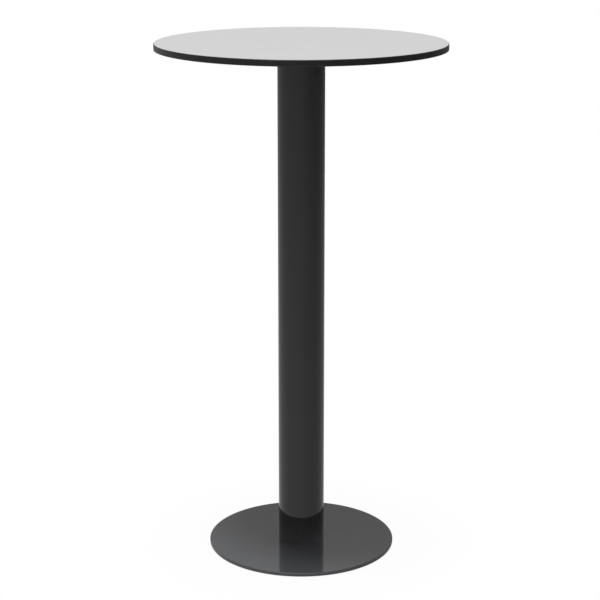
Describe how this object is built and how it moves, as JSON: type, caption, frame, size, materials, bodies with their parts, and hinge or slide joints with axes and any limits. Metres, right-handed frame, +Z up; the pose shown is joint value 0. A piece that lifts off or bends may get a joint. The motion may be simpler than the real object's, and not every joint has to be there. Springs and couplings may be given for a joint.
{
  "type": "pub table",
  "caption": "Bar-height round table: thin laminate top with a black edge, on a black steel tube column and a flat round steel base with levelling feet.",
  "frame": {"origin": "on the floor, under the column's axis", "axes": "+Z up along the column, X and Y level, with the spider's arms and the feet on the diagonals"},
  "size_m": [0.5999, 0.6, 1.09],
  "materials": {
    "laminate_decor": "matte",
    "laminate_core": "satin",
    "column_paint": "gloss",
    "base_paint": "gloss",
    "spider_paint": "satin",
    "zinc_plate": "satin",
    "insert_brass": "satin",
    "stud_steel": "satin",
    "glide_nylon": "matte"
  },
  "bodies": {
    "table": {"top_core": "laminate_core", "top_face_decor": "laminate_decor", "top_back_decor": "laminate_decor", "top_inserts": "insert_brass", "spider_hub": "spider_paint", "spider_arm_1": "spider_paint", "spider_arm_2": "spider_paint", "spider_arm_3": "spider_paint", "spider_arm_4": "spider_paint", "spider_washers": "zinc_plate", "spider_screws": "zinc_plate", "head_screws": "zinc_plate", "column_head_plate": "column_paint", "column_tube": "column_paint", "column_foot_plate": "column_paint", "base_plate": "base_paint", "base_screws": "zinc_plate"},
    "foot_1_stud": {"foot_stud_1": "stud_steel"},
    "foot_1_pad": {"foot_pad_1": "glide_nylon"},
    "foot_2_stud": {"foot_stud_2": "stud_steel"},
    "foot_2_pad": {"foot_pad_2": "glide_nylon"},
    "foot_3_stud": {"foot_stud_3": "stud_steel"},
    "foot_3_pad": {"foot_pad_3": "glide_nylon"},
    "foot_4_stud": {"foot_stud_4": "stud_steel"},
    "foot_4_pad": {"foot_pad_4": "glide_nylon"}
  },
  "joints": [
    {"name": "foot_1_wind_out", "type": "slide", "parent": "table", "child": "foot_1_stud", "axis": [0, 0, -1], "range_m": [0, 0.0035]},
    {"name": "foot_1_turn", "type": "hinge", "parent": "foot_1_stud", "child": "foot_1_pad", "pos_m": [0.12021, 0.12021, 0.0016], "axis": [0, 0, -1], "range_deg": [0, 1008]},
    {"name": "foot_2_wind_out", "type": "slide", "parent": "table", "child": "foot_2_stud", "axis": [0, 0, -1], "range_m": [0, 0.0035]},
    {"name": "foot_2_turn", "type": "hinge", "parent": "foot_2_stud", "child": "foot_2_pad", "pos_m": [-0.12021, 0.12021, 0.0016], "axis": [0, 0, -1], "range_deg": [0, 1008]},
    {"name": "foot_3_wind_out", "type": "slide", "parent": "table", "child": "foot_3_stud", "axis": [0, 0, -1], "range_m": [0, 0.0035]},
    {"name": "foot_3_turn", "type": "hinge", "parent": "foot_3_stud", "child": "foot_3_pad", "pos_m": [-0.12021, -0.12021, 0.0016], "axis": [0, 0, -1], "range_deg": [0, 1008]},
    {"name": "foot_4_wind_out", "type": "slide", "parent": "table", "child": "foot_4_stud", "axis": [0, 0, -1], "range_m": [0, 0.0035]},
    {"name": "foot_4_turn", "type": "hinge", "parent": "foot_4_stud", "child": "foot_4_pad", "pos_m": [0.12021, -0.12021, 0.0016], "axis": [0, 0, -1], "range_deg": [0, 1008]}
  ],
  "couplings": [
    {"joint": "foot_1_wind_out", "follows": "foot_1_turn", "m_per_rad": 0.00019894},
    {"joint": "foot_2_wind_out", "follows": "foot_2_turn", "m_per_rad": 0.00019894},
    {"joint": "foot_3_wind_out", "follows": "foot_3_turn", "m_per_rad": 0.00019894},
    {"joint": "foot_4_wind_out", "follows": "foot_4_turn", "m_per_rad": 0.00019894}
  ]
}
